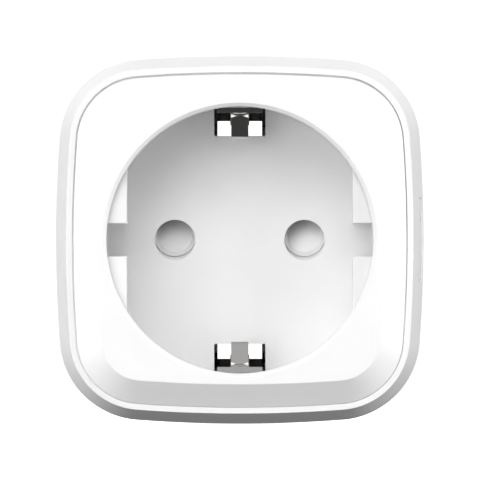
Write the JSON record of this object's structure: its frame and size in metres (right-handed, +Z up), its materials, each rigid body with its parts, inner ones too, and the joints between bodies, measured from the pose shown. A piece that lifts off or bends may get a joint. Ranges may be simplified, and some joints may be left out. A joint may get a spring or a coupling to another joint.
{
  "type": "plug-in power meter",
  "caption": "Square white plug-in power meter: a side-earthed mains plug at the back, a metered and switched shuttered socket at the front and a push button on one side.",
  "frame": {"origin": "centre of the plug's flat face, between the two pins, where the plug bottoms in a wall socket", "axes": "+Y along the pins into the wall, the appliance socket faces -Y, +Z up, +X towards the side with the button"},
  "size_m": [0.0542, 0.078, 0.0542],
  "materials": {
    "case_white": "satin moulded polycarbonate, fine texture",
    "socket_white": "matt moulded plastic",
    "button_white": "satin moulded plastic",
    "nickel": "nickel-plated brass",
    "spring_steel": "bright steel",
    "copper": "bare copper strip",
    "lens": "clear lens",
    "board_green": "solder mask",
    "black_plastic": "moulded",
    "yellow_plastic": "moulded",
    "blue_coating": "dipped epoxy",
    "dark_sleeve": "printed sleeve without print",
    "ceramic": "lacquered"
  },
  "bodies": {
    "body": {"front_cover": "case_white", "body_shell": "case_white", "rear_cover": "case_white", "socket_insert": "socket_white", "shutter_spring": "spring_steel", "contact_carrier": "socket_white", "live_contact": "nickel", "neutral_contact": "nickel", "front_earth_strap": "nickel", "rear_earth_strap": "nickel", "earth_link": "copper", "earth_pin_socket": "nickel", "live_pin": "nickel", "neutral_pin": "nickel", "switch_body": "black_plastic", "status_led": "lens", "control_board": "board_green", "radio_module": "dark_sleeve", "radio_shield": "spring_steel", "board_header": "black_plastic", "main_board": "board_green", "relay": "black_plastic", "line_capacitor": "yellow_plastic", "filter_capacitor_1": "dark_sleeve", "filter_capacitor_2": "dark_sleeve", "inductor": "ceramic", "varistor": "blue_coating", "fusible_resistor": "ceramic", "thermal_fuse": "spring_steel", "bridge_rectifier": "black_plastic", "converter_chip": "black_plastic", "metering_chip": "black_plastic", "current_shunt": "copper", "live_busbar": "copper", "neutral_busbar": "copper", "case_screw_1": "spring_steel", "carrier_screw_1": "spring_steel", "case_screw_2": "spring_steel", "carrier_screw_2": "spring_steel", "case_screw_3": "spring_steel", "carrier_screw_3": "spring_steel", "case_screw_4": "spring_steel", "carrier_screw_4": "spring_steel", "board_screw_1": "spring_steel", "board_screw_2": "spring_steel"},
    "button": {"button_cap": "button_white", "button_lens": "lens"},
    "plunger": {"switch_plunger": "yellow_plastic"},
    "shutter_slider": {"shutter": "socket_white"}
  },
  "joints": [
    {"name": "button_push", "type": "slide", "parent": "body", "child": "button", "axis": [-1, 0, 0], "range_m": [0, 0.0006], "stiffness_N_per_m": 1500, "springref_m": -0.0004},
    {"name": "plunger_push", "type": "slide", "parent": "body", "child": "plunger", "axis": [-1, 0, 0], "range_m": [0, 0.0006]},
    {"name": "shutter_slide", "type": "slide", "parent": "body", "child": "shutter_slider", "axis": [0, 0, -1], "range_m": [0, 0.0062], "stiffness_N_per_m": 60, "springref_m": -0.004, "deforming": ["shutter_spring"]}
  ],
  "couplings": [
    {"joint": "plunger_push", "follows": "button_push", "ratio": 1}
  ]
}
